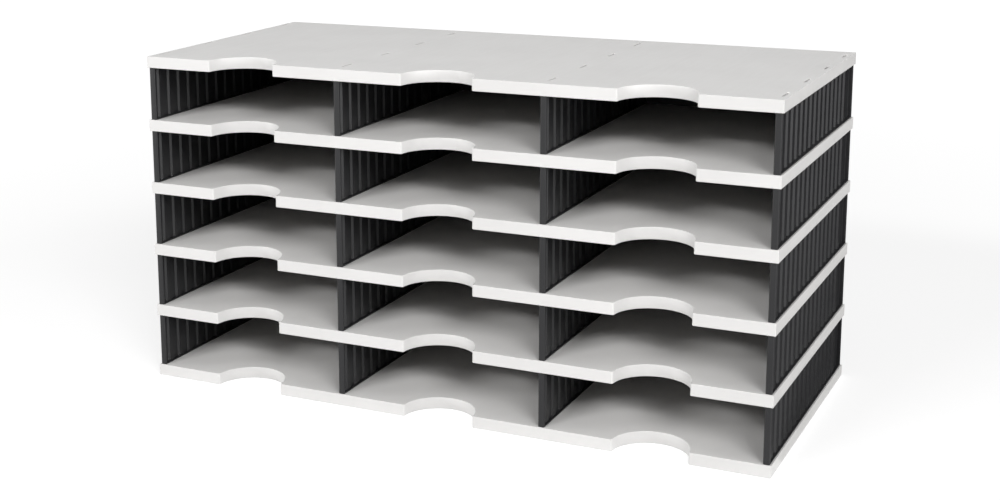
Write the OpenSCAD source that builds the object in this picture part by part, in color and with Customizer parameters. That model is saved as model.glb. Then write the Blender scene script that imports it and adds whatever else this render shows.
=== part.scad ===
// Desktop sorter: light shelves with thumb notches, plugged together with dark fluted walls.
// Frame: X along the width, Y from the front to the back, Z up from the table.
// The origin is on the table, at the middle of the footprint.

/* [Compartments] */
// Compartments side by side
columns = 3; // [1:1:3]
// Compartments on top of each other
levels = 5; // [1:1:6]
// Clear width of a compartment, between two walls
comp_w = 230.5; // [160:0.5:260]
// Clear height of a compartment, between two shelves
comp_h = 60; // [40:1:90]

/* [Shelves] */
// Depth of a shelf, front edge to rear edge
shelf_d = 331; // [320:1:380]
// Height of the shelf's edge all round
shelf_t = 13; // [11:0.5:18]
// Thickness of the shelf's flat top skin
deck_t = 3; // [2:0.5:4]
// Thickness of the edge that hangs down round the shelf
skirt_t = 2.5; // [2:0.5:4]
// Radius of the half-round thumb notch in front of each compartment
notch_r = 40.5; // [25:0.5:60]
// Radius that blends each end of a notch into the shelf's front edge
notch_blend = 2; // [1:0.5:6]
// Width of the solid rail under each row of walls
rail_w = 10.5; // [9:0.5:14]
// Thickness of the stiffening ribs under the top skin
rib_t = 2; // [1.5:0.5:3]
// Ribs from front to back under each compartment
ribs_long = 3; // [2:1:5]
// Ribs from side to side under each shelf
ribs_cross = 5; // [3:1:8]

/* [Walls] */
// Thickness of a wall's frame: its front and rear posts, its foot and its cap
wall_t = 7; // [6.5:0.5:9]
// Distance from a shelf's front or rear edge to the end of a wall
wall_inset = 1.5; // [0.5:0.5:4]
// Thickness of the fluted web inside the frame
web_t = 1.8; // [1.4:0.1:2.4]
// Distance from one flute to the next
flute_pitch = 20; // [14:1:30]
// Depth of a flute
flute_h = 1.75; // [1:0.25:2.5]
// Length of a flute's sloping side
flute_run = 2.4; // [1.2:0.2:3]
// Distance from a wall's front end to the middle of its first slope
flute_start = 10; // [6:0.5:14]
// Depth of the flat posts at a wall's front and rear ends
post_d = 2.5; // [2:0.25:4]
// Radius on the upright edges of the posts
post_r = 1.6; // [0.4:0.2:2]
// Height of the straight foot and cap strips of a wall, under and over its web
strip_h = 1.5; // [1:0.25:3]

/* [Tabs] */
// Tabs along each foot and each cap
tabs = 4; // [2:1:4]
// Distance from one tab to the next
tab_pitch = 90; // [70:1:95]
// Length of a tab
tab_l = 24; // [12:1:40]
// Thickness of a tab
tab_t = 1.8; // [1.4:0.1:2]
// Distance from a wall's middle plane to the middle of its tabs, on the left
tab_x = 1.2; // [0:0.1:2.4]
// Clearance between a tab and its slot, on each side
tab_clear = 0.2; // [0.1:0.05:0.3]
// How far a foot tab goes down into the shelf under it
foot_tab_h = 7; // [4:0.5:7.5]
// Gap in a slot, between the foot tab from above and the cap tab from below
tab_gap = 1; // [0.4:0.1:2]

/* [Back panels] */
// Thickness of a back panel
back_t = 2.5; // [1.5:0.25:4]
// Depth of a back panel's grooves
groove_h = 2; // [1.5:0.25:2.5]
// Clearance between a back panel and its grooves, on each side
back_clear = 0.15; // [0.1:0.05:0.4]
// Length of the land in front of a back panel's groove
land_d = 2; // [1:0.5:4]

/* [Hidden] */
$fn = 96;
shelf_color = [0.84, 0.84, 0.82];
wall_color = [0.11, 0.11, 0.12];

// Middle planes of the walls, and the shelf's width with a rail flush with each end
wall_pitch = comp_w + wall_t;
wall_x = [for (i = [0 : columns]) (i - columns / 2) * wall_pitch];
shelf_w = columns * wall_pitch + rail_w;
level_h = shelf_t + comp_h;
wall_d = shelf_d - 2 * wall_inset;
front_y = -shelf_d / 2;

// Cuts are drawn this far past a face, so that they break through it cleanly
over = 1;
// A blend's arc laps this far over its neighbours, so that it crosses them cleanly
blend_lap = 0.02;

// Tabs sit evenly about the middle of the depth
tab_y = [for (i = [0 : tabs - 1]) shelf_d / 2 + (i - (tabs - 1) / 2) * tab_pitch];
slot_l = tab_l + 2 * tab_clear;
slot_t = tab_t + 2 * tab_clear;
cap_tab_h = shelf_t - foot_tab_h - tab_gap;

// A wall's places across: the frame's faces at face_x, the valleys of the web's right face at valley_x
face_x = wall_t / 2;
valley_x = (web_t - flute_h) / 2;

// The groove for the back panel, measured from the wall's front end
groove_d = back_t + 2 * back_clear;
groove_1 = wall_d - post_d;
groove_0 = groove_1 - groove_d;
land_0 = groove_0 - land_d;
flute_end = land_0 - flute_run;
flutes = floor((flute_end - flute_start - flute_pitch / 2) / flute_pitch) + 1;

// Names count from the table up and from the left
function shelf_name(k) = str("shelf_", k + 1);
function wall_name(k, i) = str("wall_", k + 1, "_", i + 1);
function back_name(k, i) = str("back_", k + 1, "_", i + 1);

// One shelf, from the underside at z = 0
module shelf_plan() {
    difference() {
        translate([-shelf_w / 2, 0]) square([shelf_w, shelf_d]);
        notches(0);
    }
}

// The notches grown by a margin; blend_mid is the middle of the arc at a notch's right end
module notches(margin) {
    r = notch_r + margin;
    blend_r = notch_blend - margin;
    blend_mid = [sqrt(pow(notch_r + notch_blend, 2) - pow(notch_blend, 2)), notch_blend];
    touch = blend_mid * r / (notch_r + notch_blend);
    for (i = [0 : columns - 1]) translate([(wall_x[i] + wall_x[i + 1]) / 2, 0]) {
        circle(r = r);
        if (blend_r > 0) for (side = [0, 1]) mirror([side, 0]) difference() {
            translate([touch[0], -over]) square([blend_mid[0] - touch[0], touch[1] + over]);
            translate(blend_mid) circle(r = blend_r + blend_lap);
        }
    }
}

module inside_skirt() {
    difference() {
        translate([-shelf_w / 2 + skirt_t, skirt_t])
            square([shelf_w - 2 * skirt_t, shelf_d - 2 * skirt_t]);
        notches(skirt_t);
    }
}

// Rails under the walls, and the grid of ribs between them
module rails_and_ribs() {
    bay_w = wall_pitch - rail_w;
    for (x = wall_x)
        translate([x - rail_w / 2, 0]) square([rail_w, shelf_d]);
    for (i = [0 : columns - 1]) for (j = [1 : ribs_long])
        translate([wall_x[i] + rail_w / 2 + j * bay_w / (ribs_long + 1) - rib_t / 2, 0])
            square([rib_t, shelf_d]);
    for (j = [1 : ribs_cross])
        translate([-shelf_w / 2, j * shelf_d / (ribs_cross + 1) - rib_t / 2])
            square([shelf_w, rib_t]);
}

// Through slots, each shared by the foot tab of the wall above and the cap tab of the wall below
module tab_slots() {
    for (x = wall_x) for (y = tab_y)
        translate([x - tab_x - slot_t / 2, y - slot_l / 2, -over])
            cube([slot_t, slot_l, shelf_t + 2 * over]);
}

module shelf() {
    color(shelf_color) difference() {
        linear_extrude(height = shelf_t) shelf_plan();
        translate([0, 0, -over]) linear_extrude(height = shelf_t - deck_t + over)
            difference() {
                inside_skirt();
                rails_and_ribs();
            }
        tab_slots();
    }
}

// One wall, from its front end at y = 0 and its foot at z = 0
function flute_points(i) = let (
        a = flute_start + i * flute_pitch,
        b = a + flute_pitch / 2,
        h = flute_run / 2
    ) [[a - h, 0], [a + h, flute_h], [b - h, flute_h], [b + h, 0]];

module wall_outline() {
    difference() {
        union() {
            translate([-face_x, post_r]) square([wall_t, wall_d - 2 * post_r]);
            translate([-face_x + post_r, 0]) square([wall_t - 2 * post_r, wall_d]);
            for (x = [-face_x + post_r, face_x - post_r], y = [post_r, wall_d - post_r])
                translate([x, y]) circle(r = post_r);
        }
        // Upright grooves that hold the back panels
        for (x = [-face_x - over, face_x - groove_h])
            translate([x, groove_0]) square([groove_h + over, groove_d]);
    }
}

// The web runs as one wave about the wall's middle plane, so a valley on one side is a crest on the other
module wall_web() {
    wave = concat([[post_d, 0]], [for (i = [0 : flutes - 1]) each flute_points(i)], [[land_0, 0]]);
    right = [for (p = wave) [valley_x + p[1], p[0]]];
    left = [for (i = [len(right) - 1 : -1 : 0]) right[i] - [web_t, 0]];
    polygon(concat(right, left));
}

module wall_ends() {
    intersection() {
        wall_outline();
        union() {
            translate([-face_x, 0]) square([wall_t, post_d]);
            translate([-face_x, land_0]) square([wall_t, wall_d - land_0]);
        }
    }
}

module wall() {
    color(wall_color) {
        linear_extrude(height = comp_h) wall_ends();
        translate([0, 0, strip_h]) linear_extrude(height = comp_h - 2 * strip_h) wall_web();
        for (z = [0, comp_h - strip_h])
            translate([-face_x, post_d, z]) cube([wall_t, land_0 - post_d, strip_h]);
        for (y = tab_y) translate([-tab_x - tab_t / 2, y - wall_inset - tab_l / 2, 0]) {
            translate([0, 0, -foot_tab_h]) cube([tab_t, tab_l, foot_tab_h + strip_h]);
            translate([0, 0, comp_h - strip_h]) cube([tab_t, tab_l, strip_h + cap_tab_h]);
        }
    }
}

// One back panel, held in the grooves of the two walls beside it
module back_panel() {
    panel_w = comp_w + 2 * groove_h - 2 * back_clear;
    color(wall_color)
        translate([-panel_w / 2, groove_0 + back_clear, 0])
            cube([panel_w, back_t, comp_h - 2 * back_clear]);
}

for (k = [0 : levels])
    translate([0, front_y, k * level_h]) shelf();

for (k = [0 : levels - 1]) for (i = [0 : columns])
    translate([wall_x[i], front_y + wall_inset, k * level_h + shelf_t]) wall();

for (k = [0 : levels - 1]) for (i = [0 : columns - 1])
    translate([(wall_x[i] + wall_x[i + 1]) / 2, front_y + wall_inset,
            k * level_h + shelf_t]) back_panel();
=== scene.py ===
"""Desktop sorter: light shelves plugged together with dark fluted walls, dressed for the render.

The solids keep their shapes. This script rounds their edges, gives each its moulded plastic, and sets up the
floor, the lamps and the camera. Lengths are in metres, angles of the lamps in degrees.
"""

import math

import bpy
from mathutils import Matrix, Vector

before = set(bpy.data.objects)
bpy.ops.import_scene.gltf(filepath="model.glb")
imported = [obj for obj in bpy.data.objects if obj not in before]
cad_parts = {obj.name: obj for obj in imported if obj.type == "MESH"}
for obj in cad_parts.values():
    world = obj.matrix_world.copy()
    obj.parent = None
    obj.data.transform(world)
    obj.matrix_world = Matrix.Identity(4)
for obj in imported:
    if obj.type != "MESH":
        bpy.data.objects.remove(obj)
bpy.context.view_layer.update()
scene = bpy.context.scene
MM = 0.001
WHITE = (1, 1, 1, 1)


def link(obj):
    scene.collection.objects.link(obj)
    return obj


# Camera

PICTURE_W, PICTURE_H = 1000, 500
# The point of the picture that the lens axis goes through: the photograph is cut out of a larger one
CENTRE_X, CENTRE_Y = 400, 145
FOCAL_PX = 1634.27
SENSOR_MM = 36
CAMERA_AT = Vector((715.58, -1673.26, 648.32)) * MM
AZIMUTH, ELEVATION, ROLL = 0.4656, 0.2025, -0.0109


def make_camera():
    data = bpy.data.cameras.new("camera")
    data.sensor_width = SENSOR_MM
    data.lens = FOCAL_PX / PICTURE_W * SENSOR_MM
    data.shift_x = (PICTURE_W / 2 - CENTRE_X) / PICTURE_W
    data.shift_y = (CENTRE_Y - PICTURE_H / 2) / PICTURE_W
    data.clip_end = 50
    camera = link(bpy.data.objects.new("camera", data))
    back = Vector((math.sin(AZIMUTH) * math.cos(ELEVATION), -math.cos(AZIMUTH) * math.cos(ELEVATION),
                   math.sin(ELEVATION)))
    level = Vector((math.cos(AZIMUTH), math.sin(AZIMUTH), 0))
    upright = back.cross(level)
    right = math.cos(ROLL) * level + math.sin(ROLL) * upright
    up = math.cos(ROLL) * upright - math.sin(ROLL) * level
    turn = Matrix((right, up, back)).transposed().to_4x4()
    camera.matrix_world = Matrix.Translation(CAMERA_AT) @ turn
    scene.camera = camera


make_camera()

# Materials


class Nodes:
    """Builds the nodes of a material or a world in short calls."""

    def __init__(self, owner):
        owner.use_nodes = True
        self.tree = owner.node_tree
        self.tree.nodes.clear()

    def add(self, kind, values=(), links=(), **settings):
        node = self.tree.nodes.new(kind)
        for key, value in settings.items():
            setattr(node, key, value)
        for key, value in dict(values).items():
            node.inputs[key].default_value = value
        for key, source in dict(links).items():
            self.tree.links.new(source, node.inputs[key])
        return node

    def blend(self, source, start, end):
        """From the colour start to the colour end; each is a place on the scale and a colour."""
        node = self.add("ShaderNodeValToRGB", links={"Fac": source})
        for element, (place, colour) in zip(node.color_ramp.elements, (start, end)):
            element.position = place
            element.color = (*colour, 1)
        return node.outputs["Color"]

    def noise(self, where, scale, detail=2.0, rough=0.5):
        return self.add("ShaderNodeTexNoise", values={"Scale": scale, "Detail": detail, "Roughness": rough},
                        links={"Vector": where}).outputs["Fac"]

    def spread(self, source, low, high, start=0.3, end=0.7):
        return self.add("ShaderNodeMapRange",
                        values={"From Min": start, "From Max": end, "To Min": low, "To Max": high},
                        links={"Value": source}).outputs["Result"]

    def turned(self, where, scale, angle=0.0):
        """Coordinates turned about Z by an angle, then stretched."""
        return self.add("ShaderNodeMapping", vector_type="TEXTURE",
                        values={"Scale": scale, "Rotation": (0, 0, angle)},
                        links={"Vector": where}).outputs["Vector"]

    def maths(self, operation, a, b):
        links = {i: v for i, v in enumerate((a, b)) if not isinstance(v, (int, float))}
        values = {i: v for i, v in enumerate((a, b)) if isinstance(v, (int, float))}
        return self.add("ShaderNodeMath", operation=operation, values=values, links=links).outputs["Value"]

    def mixed(self, factor, colour, other):
        """A colour that goes towards a plain other colour by a factor."""
        node = self.add("ShaderNodeMix", data_type="RGBA", links={"Factor": factor, 6: colour})
        node.inputs[7].default_value = (*other, 1)
        return node.outputs[2]

    def surface(self, shader, output="ShaderNodeOutputMaterial"):
        self.add(output, links={"Surface": shader.outputs[0]})


# Waves in a metre of the slow mottling, and the part of its noise over which the colour changes
MOTTLE_WAVES = 14
MOTTLE_START, MOTTLE_END = 0.36, 0.62
# Faint scuffs: their directions about Z, their width and length, and how far they roughen and tint the skin
SCUFF_TURNS = (0.35, 1.9)
SCUFF_SIZE = (0.0012, 0.055, 0.02)
SCUFF_RANGE = (0.64, 0.74)
SCUFF_ROUGH = 0.12
SCUFF_TINT = 0.05
# The patches that the scuffs gather in
PATCH_WAVES = 9
PATCH_RANGE = (0.48, 0.62)
# Pale specks of dust
SPECK_WAVES = 900
SPECK_RANGE = (0.66, 0.72)
# Streaks of a little more and less gloss, long from front to back
STREAK_SIZE = (1 / 60, 1 / 4, 1 / 60)
# Height of the slow waves of a moulded face, and the share of a bump that shows
WAVE_HEIGHT = 0.0004
WAVE_SHARE, GRAIN_SHARE = 0.25, 0.35
DUST_COLOUR = (0.55, 0.55, 0.55)


def moulded(name, base, shade, scuffed, shine, rough, grain, grain_height, wave, dust):
    """Moulded plastic.

    base is its colour, shade that of its slow mottling and scuffed that of its scuffs; shine is its specular
    level and rough the range of its roughness; grain is the size of its moulded texture and wave the number
    of its slow waves in a metre; dust is how strongly its pale specks show.
    """
    material = bpy.data.materials.new(name)
    n = Nodes(material)
    where = n.add("ShaderNodeTexCoord").outputs["Object"]
    colour = n.blend(n.noise(where, MOTTLE_WAVES, 3, 0.55), (MOTTLE_START, shade), (MOTTLE_END, base))
    lines = [n.spread(n.noise(n.turned(where, SCUFF_SIZE, turn), 1, 2, 0.6), 0, 1, *SCUFF_RANGE)
             for turn in SCUFF_TURNS]
    patches = n.spread(n.noise(where, PATCH_WAVES, 2, 0.5), 0, 1, *PATCH_RANGE)
    scuffs = n.maths("MULTIPLY", n.maths("MAXIMUM", *lines), patches)
    colour = n.mixed(n.maths("MULTIPLY", scuffs, SCUFF_TINT), colour, scuffed)
    specks = n.spread(n.noise(where, SPECK_WAVES, 2, 0.6), 0, dust, *SPECK_RANGE)
    colour = n.mixed(specks, colour, DUST_COLOUR)
    streaks = n.noise(n.turned(where, STREAK_SIZE), 3, 3, 0.6)
    roughness = n.maths("ADD", n.spread(streaks, *rough), n.maths("MULTIPLY", scuffs, SCUFF_ROUGH))
    fine = n.add("ShaderNodeBump", values={"Strength": GRAIN_SHARE, "Distance": grain_height},
                 links={"Height": n.noise(where, 1 / grain, 3, 0.55)})
    slow = n.add("ShaderNodeBump", values={"Strength": WAVE_SHARE, "Distance": WAVE_HEIGHT},
                 links={"Height": n.noise(where, wave, 2, 0.4), "Normal": fine.outputs["Normal"]})
    n.surface(n.add("ShaderNodeBsdfPrincipled", values={"Specular IOR Level": shine},
                    links={"Base Color": colour, "Roughness": roughness, "Normal": slow.outputs["Normal"]}))
    return material


# One entry for each kind of node: its plastic, and the radius of its rounded edges in metres
SKINS = {
    "shelf": (moulded("shelf_plastic", base=(0.764, 0.755, 0.744), shade=(0.742, 0.733, 0.722),
                      scuffed=(0.52, 0.51, 0.50), shine=0.5, rough=(0.38, 0.50), grain=0.0007,
                      grain_height=0.00006, wave=9, dust=0.0), 0.0005),
    "wall": (moulded("wall_plastic", base=(0.0120, 0.0120, 0.0132), shade=(0.0100, 0.0100, 0.0110),
                     scuffed=(0.05, 0.05, 0.05), shine=0.4, rough=(0.36, 0.46), grain=0.0006,
                     grain_height=0.00008, wave=12, dust=0.04), 0.0003),
    "back": (moulded("back_plastic", base=(0.0120, 0.0120, 0.0132), shade=(0.0100, 0.0100, 0.0110),
                     scuffed=(0.05, 0.05, 0.05), shine=0.4, rough=(0.45, 0.55), grain=0.0008,
                     grain_height=0.0001, wave=12, dust=0.04), 0.0003),
}
# Edges sharper than this are rounded, in so many steps
EDGE_ANGLE = math.radians(40)
EDGE_STEPS = 2
# Before that, corners nearer than this are joined, and faces flatter than this are merged
WELD_GAP = 0.00001
FLAT_ANGLE = math.radians(0.5)
# Edges flatter than this are shaded smooth, such as those of the notches' arcs
SMOOTH_ANGLE = math.radians(20)


def make_shading():
    """Nodes that shade a mesh smooth, apart from its sharp edges."""
    group = bpy.data.node_groups.new("shading", "GeometryNodeTree")
    for side in ("INPUT", "OUTPUT"):
        group.interface.new_socket("Geometry", in_out=side, socket_type="NodeSocketGeometry")
    start = group.nodes.new("NodeGroupInput")
    plain = group.nodes.new("GeometryNodeRemoveAttribute")
    plain.inputs["Name"].default_value = "custom_normal"
    smooth = group.nodes.new("GeometryNodeSetShadeSmooth")
    smooth.domain = "FACE"
    smooth.inputs["Shade Smooth"].default_value = True
    sharp = group.nodes.new("GeometryNodeSetShadeSmooth")
    sharp.domain = "EDGE"
    sharp.inputs["Shade Smooth"].default_value = False
    angle = group.nodes.new("GeometryNodeInputMeshEdgeAngle")
    above = group.nodes.new("FunctionNodeCompare")
    above.data_type = "FLOAT"
    above.operation = "GREATER_THAN"
    above.inputs["B"].default_value = SMOOTH_ANGLE
    end = group.nodes.new("NodeGroupOutput")
    group.links.new(start.outputs[0], plain.inputs[0])
    group.links.new(plain.outputs[0], smooth.inputs[0])
    group.links.new(smooth.outputs[0], sharp.inputs[0])
    group.links.new(angle.outputs["Unsigned Angle"], above.inputs["A"])
    group.links.new(above.outputs[0], sharp.inputs["Selection"])
    group.links.new(sharp.outputs[0], end.inputs[0])
    return group


SHADING = make_shading()


def dress(obj, skin, radius):
    obj.data.materials.clear()
    obj.data.materials.append(skin)
    weld = obj.modifiers.new("weld", "WELD")
    weld.merge_threshold = WELD_GAP
    shading = obj.modifiers.new("shading", "NODES")
    shading.node_group = SHADING
    flat = obj.modifiers.new("flat", "DECIMATE")
    flat.decimate_type = "DISSOLVE"
    flat.angle_limit = FLAT_ANGLE
    bevel = obj.modifiers.new("edges", "BEVEL")
    bevel.width = radius
    bevel.segments = EDGE_STEPS
    bevel.limit_method = "ANGLE"
    bevel.angle_limit = EDGE_ANGLE
    bevel.use_clamp_overlap = False
    bevel.loop_slide = False
    bevel.harden_normals = True


for name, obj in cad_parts.items():
    dress(obj, *SKINS[name.split("_")[0]])

# Floor and world: white to the camera and to reflections, and plain light for the rest. From below, the
# floor is clear, so that the underside shows

FLOOR_R = 30
FLOOR_GREY = 0.45
# The floor's own glow, in the picture only: from near the object, where its shadow stays, to far from it
NEAR_GLOW, FAR_GLOW = 0.70, 1.0
NEAR, FAR = 0.9, 3.5
ROOM_LIGHT = 0.07


def seen(n):
    """1 for rays from the camera and for reflected and transmitted ones, 0 for those that carry light."""
    path = n.add("ShaderNodeLightPath").outputs
    mirrored = n.maths("MAXIMUM", path["Is Glossy Ray"], path["Is Transmission Ray"])
    return n.maths("MAXIMUM", path["Is Camera Ray"], mirrored)


def sheet(name, material, corners):
    mesh = bpy.data.meshes.new(name)
    mesh.from_pydata(corners, [], [range(len(corners))])
    mesh.materials.append(material)
    obj = link(bpy.data.objects.new(name, mesh))
    return obj


def make_floor():
    material = bpy.data.materials.new("floor_paper")
    n = Nodes(material)
    where = n.add("ShaderNodeNewGeometry").outputs["Position"]
    reach = n.add("ShaderNodeVectorMath", operation="LENGTH", links={0: where}).outputs["Value"]
    glow = n.maths("MULTIPLY", seen(n), n.spread(reach, NEAR_GLOW, FAR_GLOW, NEAR, FAR))
    light = n.add("ShaderNodeEmission", values={"Color": WHITE}, links={"Strength": glow})
    paper = n.add("ShaderNodeBsdfDiffuse", values={"Color": (FLOOR_GREY, FLOOR_GREY, FLOOR_GREY, 1)})
    lit = n.add("ShaderNodeAddShader", links={0: light.outputs[0], 1: paper.outputs[0]})
    clear = n.add("ShaderNodeBsdfTransparent")
    from_below = n.add("ShaderNodeNewGeometry").outputs["Backfacing"]
    n.surface(n.add("ShaderNodeMixShader", links={0: from_below, 1: lit.outputs[0],
                                                  2: clear.outputs[0]}))
    r = FLOOR_R
    sheet("floor", material, [(-r, -r, 0), (r, -r, 0), (r, r, 0), (-r, r, 0)])


def make_world():
    world = bpy.data.worlds.new("studio")
    n = Nodes(world)
    room = n.add("ShaderNodeBackground", values={"Color": WHITE, "Strength": ROOM_LIGHT})
    white = n.add("ShaderNodeBackground", values={"Color": WHITE, "Strength": 1})
    n.surface(n.add("ShaderNodeMixShader", links={0: seen(n), 1: room.outputs[0], 2: white.outputs[0]}),
              "ShaderNodeOutputWorld")
    scene.world = world


make_floor()
make_world()

# Dark cards of the studio, a flat triangle and an upright one behind it. Only reflections see them: without
# them the walls on the right, seen at a low angle, would mirror the white floor. The slanted front edge of
# the flat one leaves the white floor in the reflections of the flutes' slopes, which face further forward
FLAT_GREY, UPRIGHT_GREY = 0.16, 0.02
CARD_LEFT, FLAT_RIGHT, UPRIGHT_RIGHT = 0.362, 2.29, 6.0
CARD_FRONT, CARD_BACK = -0.12, 1.0
CARD_LOW, CARD_HIGH = 0.001, 1.6


def make_card(name, grey, corners):
    material = bpy.data.materials.new(name)
    n = Nodes(material)
    n.surface(n.add("ShaderNodeBsdfDiffuse", values={"Color": (grey, grey, grey, 1)}))
    card = sheet(name, material, corners)
    card.visible_camera = False
    card.visible_diffuse = False
    card.visible_shadow = False
    card.visible_transmission = False


def make_cards():
    x, y = CARD_LEFT, CARD_BACK
    low, high = CARD_LOW, CARD_HIGH
    make_card("card_flat", FLAT_GREY, [(x, CARD_FRONT, low), (FLAT_RIGHT, y, low), (x, y, low)])
    make_card("card_upright", UPRIGHT_GREY,
              [(x, y, low), (UPRIGHT_RIGHT, y, low), (UPRIGHT_RIGHT, y, high), (x, y, high)])


make_cards()

# Lamps: soft boxes that look at one point of the object. Azimuth 0 is in front of it, 90 on its right

AIM = Vector((0, -0.1, 0.2))
# Name, azimuth, elevation, distance, width and height, power in watts
LAMPS = [
    ("front_left", -20, 29, 6.0, (2.4, 0.6), 147.0),
    ("front_right", 38, 29, 6.0, (2.4, 0.6), 80.0),
    ("high_right", 45, 35, 6.0, (2.4, 1.6), 116.0),
    ("low_left", -62, 7, 6.0, (2.4, 0.6), 110.0),
    ("right", 80, 8, 6.0, (2.4, 1.0), 165.0),
    ("overhead", 0, 78, 2.6, (2.2, 1.6), 7.2),
]


def make_lamp(name, azimuth, elevation, distance, size, power):
    data = bpy.data.lights.new(name, "AREA")
    data.shape = "RECTANGLE"
    data.size, data.size_y = size
    data.energy = power
    obj = link(bpy.data.objects.new(name, data))
    a, e = math.radians(azimuth), math.radians(elevation)
    away = Vector((math.sin(a) * math.cos(e), -math.cos(a) * math.cos(e), math.sin(e)))
    obj.location = AIM + away * distance
    obj.rotation_euler = away.to_track_quat("Z", "Y").to_euler()


for lamp in LAMPS:
    make_lamp(*lamp)

scene.view_settings.view_transform = "Standard"
